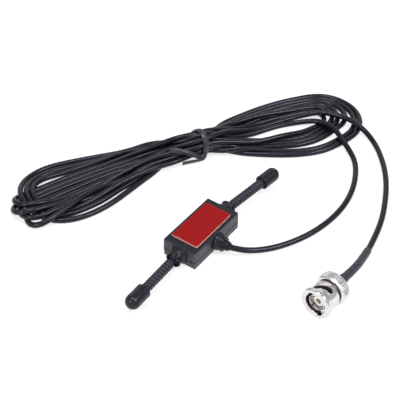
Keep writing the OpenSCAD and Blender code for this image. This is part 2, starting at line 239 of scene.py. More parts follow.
def lobe(side, spec, far_slot, near_slot):
    """One lobe of a turn: out along the far side, round the end and back along the near side."""
    reach, middle, radius, far_bow, near_bow, kink, (far_z, end_z, near_z) = spec
    straight = reach - radius
    far_side, near_side = [], []
    for part in (0.3, 0.55, 0.8):
        settle = min(1, 1.5 * part)
        bow = math.sin(math.pi * part)
        across = (TIE_ACROSS + far_slot[0]) * (1 - part) + (middle + radius) * part + far_bow * bow
        up = (TIE_Z + far_slot[1]) * (1 - settle) + far_z * settle
        far_side.append((side * part * straight, across, up))
        bow = near_bow * bow + kink * math.sin(2 * math.pi * part)
        across = (TIE_ACROSS + near_slot[0]) * (1 - part) + (middle - radius) * part + bow
        up = (TIE_Z + near_slot[1]) * (1 - settle) + near_z * settle
        near_side.append((side * part * straight, across, up))
    climb = (far_z, (2 * far_z + end_z) / 3, (far_z + 4 * end_z) / 5, end_z)
    heights = climb + ((near_z + 4 * end_z) / 5, (2 * near_z + end_z) / 3, near_z)
    end = []
    for k, z in enumerate(heights):
        angle = math.radians(90 - 30 * k)
        end.append((side * (straight + radius * math.cos(angle)), middle + radius * math.sin(angle), z))
    return [hank_point(*p) for p in far_side + end + near_side[::-1]]


def lead_route():
    """The whole lead before its turns settle, from the gland to the plug."""
    outward, homeward = tie_slots()

    def in_tie(slot, along):
        return hank_point(TIE_ALONG + along, TIE_ACROSS + slot[0], TIE_Z + slot[1])

    route = [np.array(p, float) for p in GLAND_RUN + GLAND_OVER]
    for i, left in enumerate(LEFT_LOBES):
        route += [in_tie(outward[i], along) for along in (PASS_HALF, -PASS_HALF)]
        route += lobe(-1, left, outward[i], homeward[i])
        route += [in_tie(homeward[i], along) for along in (-PASS_HALF, PASS_HALF)]
        if i < len(RIGHT_LOBES):
            route += lobe(1, RIGHT_LOBES[i], outward[i + 1], homeward[i])[::-1]
    route += [np.array(p, float) for p in PLUG_OVER + PLUG_RUN]
    mouth, back = np.array(PLUG_MOUTH) / MM, np.array(PLUG_BACK)
    route += [mouth + back * (FERRULE_END + 4), mouth + back * FERRULE_END]
    return np.array(route)


def evenly(route, step):
    """The same smooth line with its points a fixed step apart."""
    ends = np.vstack([2 * route[0] - route[1], route, 2 * route[-1] - route[-2]])
    u = np.linspace(0, 1, 20, endpoint=False)[:, None]
    pieces = []
    for i in range(len(route) - 1):
        a, b, c, d = ends[i : i + 4]
        cubic = 2 * b + (c - a) * u + (2 * a - 5 * b + 4 * c - d) * u**2 + (3 * b - a - 3 * c + d) * u**3
        pieces.append(cubic / 2)
    line = np.vstack([*pieces, route[-1:]])
    run = np.r_[0, np.cumsum(np.linalg.norm(np.diff(line, axis=0), axis=1))]
    places = np.linspace(0, run[-1], int(round(run[-1] / step)) + 1)
    return np.stack([np.interp(places, run, line[:, k]) for k in range(3)], 1)


def spline_weights(knots, per_span):
    """Weights of a cubic B-spline's knots at its samples, with straight ends."""
    samples = (knots - 1) * per_span + 1
    weights = np.zeros((samples, knots))
    for i in range(samples):
        span = min(i // per_span, knots - 2)
        u = i / per_span - span
        cubic = ((1 - u) ** 3, 3 * u**3 - 6 * u**2 + 4, -3 * u**3 + 3 * u**2 + 3 * u + 1, u**3)
        for j, weight in enumerate(cubic):
            knot = span - 1 + j
            inner = min(max(knot, 0), knots - 1)
            if knot == inner:
                weights[i, knot] += weight / 6
            else:
                weights[i, inner] += weight / 3
                weights[i, 1 if knot < 0 else knots - 2] -= weight / 6
    return weights


def held_knots(knots):
    """The free runs are laid as listed and stay; only the hank between them settles."""
    held = np.zeros(len(knots), bool)
    first = np.argmin(np.linalg.norm(knots[:60] - np.array(GLAND_RUN[-2]), axis=1))
    last = len(knots) - 60 + np.argmin(np.linalg.norm(knots[-60:] - np.array(PLUG_RUN[1]), axis=1))
    held[: first + 1] = True
    held[last:] = True
    return held


def outer_turns(along):
    """Which points are on the first left lobe, and which on the first two right ones."""

    def first(start, reached):
        return start + int(np.argmax(reached[start:]))

    left = np.zeros(len(along), bool)
    right = np.zeros(len(along), bool)
    start = first(0, along < -LOBE_IN)
    end = first(first(start, along < -LOBE_OUT), along > -LOBE_IN)
    left[start:end] = True
    for _ in range(2):
        start = first(end, along > LOBE_IN)
        end = first(first(start, along > LOBE_OUT), along < LOBE_IN)
        right[start:end] = True
        end = first(end, along < -LOBE_IN)
    return left, right


def gap_widths(along):
    """How much farther in than the outline the turns that aren't the outermost have to keep."""
    total = np.zeros(len(along))
    for outer, (start, end, inward) in zip(outer_turns(along), (LEFT_GAP, RIGHT_GAP)):
        rise = np.clip(np.minimum(along - start, end - along) / 10, 0, 1)
        total += np.where(outer, 0, inward * rise)
    return total


def from_tie(line):
    """Distances along, across and up from the tie's middle."""
    level = line[:, :2] - HANK_MIDDLE
    return level @ ALONG - TIE_ALONG, level @ ACROSS - TIE_ACROSS, line[:, 2] - TIE_Z


def apart_push(line, near_self):
    """What brings turns that overlap a cable's width apart, shared out where a point touches several."""
    push = np.zeros_like(line)
    touches = np.zeros(len(line))
    index = np.arange(len(line))
    gaps = ((line[:, None, :] - line[None, :, :]) ** 2).sum(2)
    a, b = np.where((gaps < APART**2) & (index[:, None] - index[None, :] > near_self))
    between = line[a] - line[b]
    distance = np.sqrt(gaps[a, b]) + 1e-6
    way = between / distance[:, None]
    crossing = distance < CABLE_R
    way[crossing, 2] = np.where(between[crossing, 2] >= 0, 1, -1)
    way /= np.linalg.norm(way, axis=1)[:, None]
    step = way * ((APART - distance) / 2)[:, None]
    np.add.at(push, a, step)
    np.add.at(push, b, -step)
    np.add.at(touches, a, 1)
    np.add.at(touches, b, 1)
    return push / np.maximum(1, touches / 1.6)[:, None]


def band_pull(line):
    """What brings the points in the tie back inside its band."""
    along, across, up = from_tie(line)
    spread = np.hypot(across, up)
    room = np.where(np.abs(along) < BAND_HALF, TIE_R - CABLE_R, np.inf)
    pull = np.where(spread > room, room / np.maximum(spread, 1e-6) - 1, 0)
    return np.stack([ACROSS[0] * across * pull, ACROSS[1] * across * pull, up * pull], 1)


def too_wide(line, keep_in):
    """How far points are outside the bundle's outline; higher turns keep nearer to its middle."""
    level = line[:, :2] - HANK_MIDDLE
    along = level @ ALONG
    lean = level @ ACROSS + HIGH_LEANS * (line[:, 2] - CABLE_R)
    far, near = np.array(FAR_SPREAD), np.array(NEAR_SPREAD)
    over = np.maximum(0, lean - np.interp(along, far[:, 0], far[:, 1]))
    under = np.minimum(0, lean - np.interp(along, near[:, 0], near[:, 1]) - keep_in)
    beyond = (along < -88) | (along > 66)
    return np.where(beyond, 0, over + under)


def eased(shift, held, amount):
    """The knots' shifts, each drawn towards the mean of its neighbours'."""
    for _ in range(2):
        bend = np.zeros_like(shift)
        bend[1:-1] = (shift[:-2] + shift[2:]) / 2 - shift[1:-1]
        bend[held] = 0
        shift = shift + amount * bend
    return shift


def settle(route):
    """Pushes turns off each other, into the tie and onto the table, until they lie side by side."""
    knots = evenly(route, KNOT_STEP)
    weights = spline_weights(len(knots), PER_SPAN)
    share = weights.clip(0).sum(0)[:, None]
    held = held_knots(knots)
    start = weights @ knots
    keep_in = gap_widths((start[:, :2] - HANK_MIDDLE) @ ALONG)
    along, across, up = from_tie(start)
    in_tie = (np.abs(along) < PASS_HALF + 0.5) & (np.hypot(across, up) < TIE_R - 0.5)
    near_self = int(math.ceil(2.2 * CABLE_D * PER_SPAN / KNOT_STEP))
    shift = np.zeros_like(knots)
    for turn in range(ROUNDS):
        calm = turn > CALM_AFTER
        line = weights @ (knots + shift)
        push = apart_push(line, near_self)
        push[in_tie] += 0.5 * (start[in_tie] - line[in_tie])
        push += band_pull(line)
        push[:, :2] -= (OUTLINE_PULL * too_wide(line, keep_in))[:, None] * ACROSS
        if not calm:
            push[:, 2] -= WEIGHT
        push[:, 2] += np.maximum(0, CABLE_R - (line[:, 2] + push[:, 2]))
        change = HURRY * (weights.T @ push) / share
        change[held] = 0
        shift = eased(shift + change, held, CALM_STIFFNESS if calm else STIFFNESS)
        shift[~held, :2] *= 0.995
    line = weights @ (knots + shift)
    line[:, 2] = np.maximum(line[:, 2], CABLE_R)
    return line


LEAD = settle(lead_route())

# ---- mesh helpers ----


def skin(rings, loop=False):
    """Points and faces of a surface through rings of points; a ring of one point is a pole."""
    points, starts, faces = [], [], []
    for ring in rings:
        starts.append(len(points))
        points.extend(tuple(p) for p in ring)
    pairs = list(zip(range(len(rings) - 1), range(1, len(rings))))
    if loop:
        pairs.append((len(rings) - 1, 0))
    for a, b in pairs:
        one, two = len(rings[a]), len(rings[b])
        for k in range(max(one, two)):
            m = (k + 1) % max(one, two)
            if one == 1:
                faces.append((starts[a], starts[b] + m, starts[b] + k))
            elif two == 1:
                faces.append((starts[a] + k, starts[a] + m, starts[b]))
            else:
                faces.append((starts[a] + k, starts[a] + m, starts[b] + m, starts[b] + k))
    if not loop:
        for i, flip in ((0, True), (len(rings) - 1, False)):
            if len(rings[i]) > 1:
                cap = list(range(starts[i], starts[i] + len(rings[i])))
                faces.append(tuple(cap[::-1] if flip else cap))
    return points, faces


def merge(*surfaces):
    """Several surfaces as one set of points and faces."""
    points, faces = [], []
    for more, cells in surfaces:
        faces.extend(tuple(len(points) + v for v in cell) for cell in cells)
        points.extend(more)
    return points, faces


def solid(name, surface, where):
    """A mesh object from points and faces given in a place's own millimetres."""
    points, faces = surface
    mesh = bpy.data.meshes.new(name)
    mesh.from_pydata(points, [], faces)
    mesh.transform(where)
    obj = bpy.data.objects.new(name, mesh)
    bpy.context.scene.collection.objects.link(obj)
    work = bmesh.new()
    work.from_mesh(mesh)
    bmesh.ops.recalc_face_normals(work, faces=work.faces)
    work.to_mesh(mesh)
    work.free()
    return obj


def carve(obj, surface, where, operation="DIFFERENCE"):
    """Takes a surface's inside away from a piece, or joins it on."""
    cutter = solid("cutter", surface, where)
    step = obj.modifiers.new("carve", "BOOLEAN")
    step.operation = operation
    step.solver = "EXACT"
    step.object = cutter
    made = bpy.data.meshes.new_from_object(obj.evaluated_get(bpy.context.evaluated_depsgraph_get()))
    obj.modifiers.clear()
    obj.data = made
    bpy.data.objects.remove(cutter)


def ring_x(x, radius, sides=64, shape=2.0, wave=None):
    """A ring round the X axis. A shape over 2 squares it off, and wave changes the radius by angle."""
    ring = []
    for k in range(sides):
        angle = 2 * math.pi * k / sides
        c, s = math.cos(angle), math.sin(angle)
        stretch = (abs(c) ** shape + abs(s) ** shape) ** (-1 / shape)
        r = radius * stretch + (wave(angle) if wave else 0)
        ring.append((x, -r * s, r * c))
    return ring


def lathe(profile, sides):
    """Rings round the X axis through (x, radius) points; a point on the axis is a pole."""
    return [[(x, 0, 0)] if r < 1e-6 else ring_x(x, r, sides) for x, r in profile]


def filleted(profile, radius, steps=3):
    """The same closed profile with its corners rounded, each by at most the radius."""
    rounded = []
    for i, point in enumerate(profile):
        here = Vector(point)
        before, after = Vector(profile[i - 1]), Vector(profile[(i + 1) % len(profile)])
        back = min(radius, 0.4 * (before - here).length)
        ahead = min(radius, 0.4 * (after - here).length)
        a = here + (before - here).normalized() * back
        c = here + (after - here).normalized() * ahead
        for k in range(steps + 1):
            u = k / steps
            rounded.append(tuple(a * (1 - u) ** 2 + here * 2 * u * (1 - u) + c * u**2))
    return rounded


def turned(profile, sides, radius):
    """A turned surface round X from a closed profile, with its corners rounded."""
    return skin(lathe(filleted(profile, radius), sides), loop=True)


def bar(ends, half_wide, low, high):
    """A square-edged bar along X, for cutting slits."""
    corners = ((-half_wide, low), (half_wide, low), (half_wide, high), (-half_wide, high))
    return skin([[(x, *corner) for corner in corners] for x in ends])


def smooth_line(points, step):
    """The smooth line through points, as vectors a fixed step apart."""
    return [Vector(p) for p in evenly(np.array([tuple(p) for p in points]), step)]


def ways(line, loop=False):
    """The direction of a line at each of its points."""
    first, last = (line[-1], line[0]) if loop else (line[0], line[-1])
    return [(after - before).normalized() for before, after in zip([first, *line], [*line[1:], last])]


def untwisted(line):
    """At each point of a line: the point and two directions across it, which don't turn about it."""
    up = Vector((0, 0, 1))
    frames = []
    for point, way in zip(line, ways(line)):
        up = (up - way * up.dot(way)).normalized()
        frames.append((point, way.cross(up), up))
    return frames


def round_ring(point, side, up, radius, sides, first=0.0):
    """A ring round a point of a line; first is where its first corner is, in sides."""
    ring = []
    for k in range(sides):
        angle = 2 * math.pi * (k + first) / sides
        ring.append(point + side * (radius * math.cos(angle)) + up * (radius * math.sin(angle)))
    return ring


# ---- materials ----

PAINTS = {}


def add_node(tree, kind, inputs, **settings):
    """A shader node with its settings made, and its named inputs set or linked."""
    node = tree.nodes.new(f"ShaderNode{kind}")
    for name, value in settings.items():
        setattr(node, name, value)
    fill(tree, node, inputs)
    return node


def fill(tree, node, inputs):
    for name, value in inputs.items():
        if isinstance(value, bpy.types.NodeSocket):
            tree.links.new(value, node.inputs[name])
        else:
            node.inputs[name].default_value = value


class Paint:
    """A Principled material with procedural colour, roughness and bump, kept in PAINTS by its name."""

    def __init__(self, name, colour, rough, metal=0.0, specular=0.5):
        self.material = bpy.data.materials.new(name)
        self.material.use_nodes = True
        self.tree = self.material.node_tree
        self.shader = self.tree.nodes["Principled BSDF"]
        self.coords = self.tree.nodes.new("ShaderNodeTexCoord").outputs["Object"]
        self.tint = (*colour, 1)
        self.normal = None
        self.set({"Base Color": self.tint, "Roughness": rough})
        self.set({"Metallic": metal, "Specular IOR Level": specular})
        PAINTS[name] = self.material

    def set(self, inputs):
        fill(self.tree, self.shader, inputs)

    def scaled(self, scale, seed=0.0):
        """The object's coordinates, scaled and moved."""
        inputs = {"Scale": scale, "Location": (seed, seed * 0.7, seed * 0.3), "Vector": self.coords}
        return add_node(self.tree, "Mapping", inputs).outputs["Vector"]

    def noise(self, size_mm, detail=3.0, stretch=(1, 1, 1), seed=0.0):
        """Noise whose blobs are about size_mm across, drawn out along the axes where stretch is over 1."""
        where = self.scaled([1 / (MM * size_mm * s) for s in stretch], seed)
        return add_node(self.tree, "TexNoise", {"Scale": 1, "Detail": detail, "Vector": where}).outputs["Fac"]

    def bands(self, size_mm):
        """Even level bands, one every size_mm."""
        inputs = {"Scale": 2 * math.pi / (20 * size_mm), "Vector": self.scaled([1 / MM] * 3)}
        return add_node(self.tree, "TexWave", inputs, bands_direction="Z").outputs["Fac"]

    def range(self, value, low, high, source=(0.3, 0.7)):
        """The value stretched from the source range to low and high."""
        inputs = {"From Min": source[0], "From Max": source[1], "To Min": low, "To Max": high, "Value": value}
        return add_node(self.tree, "MapRange", inputs).outputs["Result"]

    def mix(self, value, other):
        """Mixes another colour in where the value is 1."""
        inputs = {"A": self.tint, "B": (*other, 1), "Factor": value}
        self.tint = add_node(self.tree, "Mix", inputs, data_type="RGBA").outputs["Result"]
        self.set({"Base Color": self.tint})

    def mottle(self, size_mm, other, most=1.0, seed=0.0):
        self.mix(self.range(self.noise(size_mm, seed=seed), 0, most, (0.35, 0.65)), other)

    def roughen(self, size_mm, low, high, stretch=(1, 1, 1)):
        self.set({"Roughness": self.range(self.noise(size_mm, stretch=stretch, seed=3.1), low, high)})

    def bump(self, height, depth_mm, strength):
        """Raises the surface by a height, on top of the bumps before it."""
        inputs = {"Distance": depth_mm * MM, "Strength": strength, "Height": height}
        if self.normal is not None:
            inputs["Normal"] = self.normal
        self.normal = add_node(self.tree, "Bump", inputs).outputs["Normal"]
        self.set({"Normal": self.normal})

    def edges(self, other, most):
        """Paints a highlight along the edges: a lighter colour where the surface rounds over."""
        bevel = add_node(self.tree, "Bevel", {"Radius": EDGE_HIGHLIGHT_WIDTH * MM})
        geometry = add_node(self.tree, "NewGeometry", {})
        inputs = {0: bevel.outputs["Normal"], 1: geometry.outputs["Normal"]}
        flat = add_node(self.tree, "VectorMath", inputs, operation="DOT_PRODUCT").outputs["Value"]
        self.mix(self.range(flat, most, 0, (0.75, 0.99)), other)


# How far round an edge the painted edge highlight reaches, in millimetres
EDGE_HIGHLIGHT_WIDTH = 0.3
# The soft black plastics gloss a little towards violet
VIOLET_GLOSS = {"Specular IOR Level": 0.33, "Specular Tint": (0.86, 0.82, 1, 1)}


def shell_paint():
    paint = Paint("shell_plastic", (0.0062, 0.0058, 0.01), 0.5, specular=0.25)
    paint.mottle(5, (0.0088, 0.0082, 0.0138), 0.8)
    # Painted highlight: the shell's edges are lightened
    paint.edges((0.07, 0.07, 0.085), 0.75)
    paint.roughen(0.8, 0.42, 0.58)
    paint.bump(paint.noise(0.16, detail=2), 0.012, 0.5)


def side_paint():
    """The box's sides, painted lighter than the flat face as painted light from the floor, with the fine level
    lines that the mould left.
    """
    paint = Paint("shell_sides_painted_lighter", (0.02, 0.0187, 0.0275), 0.4, specular=0.42)
    paint.mottle(4, (0.03, 0.029, 0.038), 0.8)
    paint.mix(paint.range(paint.bands(0.62), 0, 0.6, (0.2, 1)), (0.046, 0.045, 0.057))
    # Painted highlight: the edges of the sides are lightened
    paint.edges((0.085, 0.088, 0.098), 0.75)
    paint.roughen(0.8, 0.36, 0.5, stretch=(6, 6, 1))
    paint.bump(paint.bands(0.62), 0.02, 0.5)
    paint.bump(paint.noise(0.16, detail=2), 0.01, 0.4)


def liner_paint():
    paint = Paint("liner_film", (0.232, 0.0028, 0.0032), 0.5, specular=0.1)
    paint.mottle(3.2, (0.175, 0.0025, 0.0028), 0.75)
    paint.mottle(0.7, (0.29, 0.0045, 0.005), 0.3, seed=5)
    # Painted highlight: a whitish-pink line along the liner's edges
    paint.edges((0.5, 0.07, 0.08), 0.7)
    paint.roughen(1.5, 0.42, 0.58)
    paint.bump(paint.noise(5, detail=2), 0.05, 0.35)
    paint.bump(paint.noise(0.25, detail=2), 0.006, 0.5)


def foam_paint():
    paint = Paint("foam", (0.62, 0.36, 0.36), 0.85)
    paint.mottle(0.3, (0.42, 0.16, 0.16), 0.8)
    paint.bump(paint.noise(0.14), 0.06, 0.9)


def rubber_paint(name, colour, other, rough):
    paint = Paint(name, colour, sum(rough) / 2)
    paint.mottle(2.4, other, 0.9)
    paint.roughen(0.9, *rough)
    paint.bump(paint.noise(0.2, detail=2), 0.004, 0.4)
    paint.bump(paint.noise(2.5, detail=2), 0.02, 0.2)
    paint.set(VIOLET_GLOSS)


def jacket_paint():
    paint = Paint("cable_jacket", (0.0045, 0.004, 0.0068), 0.24)
    paint.mottle(7, (0.007, 0.0064, 0.0102), 0.9)
    paint.roughen(6, 0.2, 0.28)
    paint.bump(paint.noise(5, detail=0), 0.03, 0.2)
    paint.set(VIOLET_GLOSS)


def tie_paint():
    paint = Paint("tie_plastic", (0.014, 0.0132, 0.019), 0.28)
    paint.mottle(1.2, (0.035, 0.034, 0.043), 0.7)
    paint.roughen(0.6, 0.26, 0.44)
    paint.bump(paint.noise(0.5), 0.04, 0.5)
    paint.set({"Specular Tint": (0.88, 0.85, 1, 1)})


def shrink_paint():
    paint = Paint("shrink_tube", (0.016, 0.0148, 0.0235), 0.45, specular=0.4)
    paint.mottle(1.8, (0.028, 0.0265, 0.041), 0.9)
    paint.roughen(0.7, 0.36, 0.54)
    paint.bump(paint.noise(0.9), 0.05, 0.5)


def metal_paint(name, colour, other, rough):
    paint = Paint(name, colour, sum(rough) / 2, metal=1.0)
    paint.mottle(1.6, other, 0.8)
    paint.roughen(0.7, *rough)
    paint.bump(paint.noise(0.5), 0.004, 0.35)


def gloss_paint(name, colour, other, rough, size=1.0):
    paint = Paint(name, colour, sum(rough) / 2)
    paint.mottle(size, other, 0.9)
    paint.roughen(0.6, *rough)
    paint.bump(paint.noise(0.25, detail=2), 0.008, 0.4)


for make_paint in (
    shell_paint, side_paint, liner_paint, foam_paint, jacket_paint, tie_paint, shrink_paint,
):
    make_paint()

# The rest share a recipe: name, colour, the colour that mottles it, the range of its roughness
rubber_paint("arm_rubber", (0.012, 0.011, 0.0165), (0.019, 0.0178, 0.027), (0.28, 0.4))
rubber_paint("cap_rubber", (0.0065, 0.006, 0.0095), (0.0105, 0.0098, 0.0148), (0.22, 0.3))
rubber_paint("gland_rubber", (0.0055, 0.0052, 0.0085), (0.009, 0.0084, 0.0125), (0.26, 0.36))
metal_paint("nickel", (0.74, 0.72, 0.725), (0.64, 0.62, 0.625), (0.13, 0.22))
# A dark nickel that paints the shade in the plug's hollows
metal_paint("nickel_painted_shade", (0.16, 0.14, 0.14), (0.08, 0.07, 0.07), (0.3, 0.45))
metal_paint("gold", (0.5, 0.4, 0.24), (0.4, 0.31, 0.18), (0.24, 0.36))
metal_paint("brass", (0.72, 0.55, 0.26), (0.6, 0.43, 0.18), (0.22, 0.36))
metal_paint("spring_steel", (0.5, 0.5, 0.52), (0.4, 0.4, 0.42), (0.2, 0.34))
metal_paint("copper", (0.78, 0.62, 0.45), (0.66, 0.5, 0.34), (0.24, 0.38))
gloss_paint("board", (0.012, 0.085, 0.035), (0.02, 0.12, 0.05), (0.2, 0.34), 2.0)
gloss_paint("ferrite", (0.03, 0.03, 0.033), (0.05, 0.05, 0.054), (0.45, 0.65), 0.5)
gloss_paint("chip_ceramic", (0.42, 0.33, 0.22), (0.52, 0.43, 0.3), (0.3, 0.5), 0.4)
gloss_paint("dielectric", (0.76, 0.75, 0.7), (0.83, 0.82, 0.78), (0.24, 0.4))
gloss_paint("ptfe", (0.72, 0.72, 0.7), (0.8, 0.8, 0.78), (0.38, 0.55))
gloss_paint("silicone", (0.42, 0.08, 0.05), (0.5, 0.11, 0.07), (0.4, 0.55))


def finish_piece(obj, slot, body=ROOT, sharp=50, replaces=None):
    """Smooths a piece but for edges over an angle, paints it, ties it to its body, and hides the CAD nodes that
    it replaces.
    """
    mesh = obj.data
    mesh.polygons.foreach_set("use_smooth", [True] * len(mesh.polygons))
    mesh.set_sharp_from_angle(angle=math.radians(sharp))
    mesh.update()
    mesh.materials.clear()
    mesh.materials.append(PAINTS[slot])
    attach(obj, body)
    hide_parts(*(replaces or [obj.name.removesuffix("_piece")]))
    return obj


def make_piece(name, surface, where, slot, body=ROOT, sharp=50):
    """The piece that stands for the CAD node of this name."""
    finish_piece(solid(f"{name}_piece", surface, where), slot, body, sharp)


# ---- box ----

EDGE_R = 0.2
CORNER_R = 0.35
DRAFT = 0.12
GROOVE = 0.3
WALL = 1.2
STEM_R = 2.4
BOSS_X = 9
BOSS_R = 1.2


def box_outline(half_x, half_y, corner, z, lengths=14):
    """A rounded rectangle at a height, with each straight side in short lengths."""
    points = []
    for turn, (cx, cy) in enumerate(((1, 1), (-1, 1), (-1, -1), (1, -1))):
        middle = Vector((cx * (half_x - corner), cy * (half_y - corner), z))
        for k in range(7):
            angle = math.radians(90 * turn + 15 * k)
            points.append(middle + corner * Vector((math.cos(angle), math.sin(angle), 0)))
        along_x = turn % 2 == 0
        way = Vector((-cx, 0, 0)) if along_x else Vector((0, -cy, 0))
        side = 2 * ((half_x if along_x else half_y) - corner)
        start = points[-1].copy()
        points += [start + way * (side * k / lengths) for k in range(1, lengths)]
    return points


def half_box(flat_z, rim_z):
    """One shell: inner floor, inner wall, rim, outer wall with a small draft, and a rounded flat face."""
    up = 1 if flat_z > rim_z else -1
    high = abs(flat_z - rim_z)
    inner = WALL + 0.3
    stations = [
        (inner, 0.5, flat_z - up * WALL), (inner, 0.5, rim_z + up * 0.02), (inner - 0.1, 0.5, rim_z),
        (GROOVE, CORNER_R, rim_z), (GROOVE, CORNER_R, rim_z + up * 0.13), (0.08, CORNER_R, rim_z + up * 0.17),
    ]
    for part in (0, 0.25, 0.5, 0.75, 1):
        z = rim_z + up * (0.27 + part * (high - EDGE_R - 0.27))
        stations.append((DRAFT * abs(z - rim_z) / high, CORNER_R, z))
    for angle in (30, 60, 90):
        lean = EDGE_R * (1 - math.cos(math.radians(angle)))
        z = flat_z - up * EDGE_R * (1 - math.sin(math.radians(angle)))
        stations.append((DRAFT + lean, CORNER_R - 0.5 * lean, z))
    return skin([box_outline(HALF_LEN - inset, HALF_WID - inset, corner, z) for inset, corner, z in stations])


def block(low, high):
    """A block with rounded upright edges, its heights counted from the joint between the shells."""
    (x0, y0, z0), (x1, y1, z1) = low, high
    corner = 0.25 * min(x1 - x0, y1 - y0)
    shift = Vector(((x0 + x1) / 2, (y0 + y1) / 2, SPLIT_Z))
    rings = []
    for z, inset in ((z0, 0.04), (z0 + 0.06, 0), (z1 - 0.06, 0), (z1, 0.04)):
        outline = box_outline((x1 - x0) / 2 - inset, (y1 - y0) / 2 - inset, corner, z, 2)
        rings.append([p + shift for p in outline])
    return skin(rings)


def rod(x0, x1, radius, sides=40):
    return skin(lathe([(x0, radius), (x1, radius)], sides))


def paint_sides(obj):
    """The flat face keeps the plain plastic, and the upright faces take the mould's level lines and a lighter
    tone that is painted light.
    """
    obj.data.materials.append(PAINTS["shell_sides_painted_lighter"])
    for face in obj.data.polygons:
        outer = abs(face.center.x) > (HALF_LEN - 0.8) * MM or abs(face.center.y) > (HALF_WID - 0.8) * MM
        face.material_index = 1 if outer and abs(face.normal.z) < 0.5 else 0


def detail_base(base):
    """The notch and the dash at one end, the nub at the other, and the two bosses inside."""
    notch = block((-HALF_LEN - 1, 1.6 - HALF_WID, -0.7), (0.8 - HALF_LEN, 3 - HALF_WID, 0.5))
    dash = block((-HALF_LEN - 1, HALF_WID - 3.6, -0.25), (0.5 - HALF_LEN, HALF_WID - 1.9, 0.5))
    nub = block((HALF_LEN - 0.4, 1 - HALF_WID, -0.55), (HALF_LEN + 0.3, 2 - HALF_WID, -0.02))
    carve(base, notch, AT_BOX)
    carve(base, dash, AT_BOX)
    carve(base, nub, AT_BOX, "UNION")
    for x in (-BOSS_X, BOSS_X):
        stand = Matrix.Translation((x * MM, 0, 0)) @ Matrix.Rotation(math.radians(-90), 4, "Y") @ SIZE
        carve(base, rod(WALL - 0.2, WALL + 1.2, BOSS_R, 24), stand, "UNION")


def make_shells():
    for name, flat_z in (("base_shell", 0), ("cover_shell", TOP_Z)):
        obj = solid(f"{name}_piece", half_box(flat_z, SPLIT_Z), AT_BOX)
        for side in ("left", "right"):
            carve(obj, rod(-5, 1, STEM_R), AT_COLLAR[side])
        carve(obj, rod(-4, 1, STEM_R), AT_GLAND)
        if name == "base_shell":
            detail_base(obj)
        finish_piece(obj, "shell_plastic", sharp=28)
        paint_sides(obj)


make_shells()

# ---- tape ----


def make_tape():
    foam_low, foam_high = (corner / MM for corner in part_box("foam_tape"))
    liner_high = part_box("tape_liner")[1] / MM
    thick = foam_high.z - foam_low.z
    film = liner_high.z - foam_high.z

    def outline(inset, corner, z):
        return box_outline(foam_high.x - inset, foam_high.y - inset, corner, z, 28)

    rings = []
    for part in (0, 0.12, 0.35, 0.65, 0.88, 1):
        bulge = 0.07 * math.sin(math.pi * part)
        ring = outline(0.05 - bulge, 0.8, foam_low.z + part * thick)
        torn = 0.0 if part in (0, 1) else 0.05
        rings.append([p + Vector((rng.uniform(-torn, torn), rng.uniform(-torn, torn), 0)) for p in ring])
    make_piece("foam_tape", skin(rings), AT_BOX, "foam", sharp=60)

    rings = []
    for inset, corner, z in (
        (0.3, 0.85, 0.01), (0.12, 0.85, 0.01), (0.08, 0.85, 0.04), (0.1, 0.85, film * 0.8), (0.16, 0.85, film),
        (1.2, 0.6, film), (3.2, 0.6, film),
    ):
        lifted = []
        for p in outline(inset, corner, foam_high.z + z):
            near_corner = max(0, 1 - ((foam_high.x - abs(p.x)) + (foam_high.y - abs(p.y))) / 3)
            lift = 0.1 * near_corner if p.x < 0 < p.y else 0.05 * near_corner
            lifted.append(p + Vector((0, 0, lift)))
        rings.append(lifted)
    make_piece("tape_liner", skin(rings), AT_BOX, "liner_film", sharp=60)


make_tape()

# ---- arms ----

RIB_R = 2.3
RIB_PITCH = 1.9
RIB_DEPTH = 0.52
NECK_R = 1.7
NECK_END = 3.3
FOOT_R = 2.62
FOOT_START = 1.5
ROD_R = 0.8
CAP_R = 3.5
CAP_LEN = 8
# From each arm's flex point to the centre of its cap's round end, and from there to the tip
ARM_LEN = {"left": 32, "right": 32.8}
TIP_LEN = 3.25
# A collar's and the gland's foot inside the wall: a flange, and a stem through the hole
FOOT = [(-1.95, 3.2), (-1.56, 3.2), (-1.55, 2.36), (-0.02, 2.36)]


def collar_rings(sides=72):
    """A boss with a squarish foot, a waist, a round lip and a deep cup; closed on itself."""
    profile = [
        (-1.95, 1.85, 2), *((x, r, 2) for x, r in FOOT), (0, 3.9, 4.6), (0.06, 4.02, 4.6), (0.45, 4.05, 4.6),
        (0.62, 3.98, 4.4), (0.8, 3.84, 4), (1.15, 3.62, 3.4), (1.6, 3.42, 2.8), (2.2, 3.3, 2.3), (2.9, 3.28, 2),
        (3.4, 3.36, 2), (3.62, 3.5, 2), (3.72, 3.7, 2), (3.88, 3.82, 2), (4.15, 3.86, 2), (4.38, 3.76, 2),
        (4.5, 3.6, 2), (4.5, 3.36, 2), (4.4, 3.14, 2), (4.1, 3.03, 2), (2.9, 2.96, 2), (2.72, 2.84, 2),
        (2.7, 1.85, 2),
    ]
    wall = HALF_LEN - FLEX_X
    return [ring_x(wall + x, r, sides, shape) for x, r, shape in profile]


def rib_radius(x, angle, last_x):
    """The sleeve's radius: a smooth neck, then one round rib winding up to the cap."""
    phase = (x - NECK_END) / RIB_PITCH - angle / (2 * math.pi)
    across = 2 * (phase - math.floor(phase)) - 1
    rib = math.sqrt(max(0, 1 - across * across)) ** 0.7
    grow = min(1, max(0, (x - NECK_END) / 1.4)) * min(1, max(0, (last_x - x) / 0.3))
    grow = grow * grow * (3 - 2 * grow)
    ribbed = RIB_R - RIB_DEPTH + RIB_DEPTH * rib
    smooth = NECK_R - 0.06 * math.sin(math.pi * min(1, x / NECK_END))
    return smooth * (1 - grow) + ribbed * grow


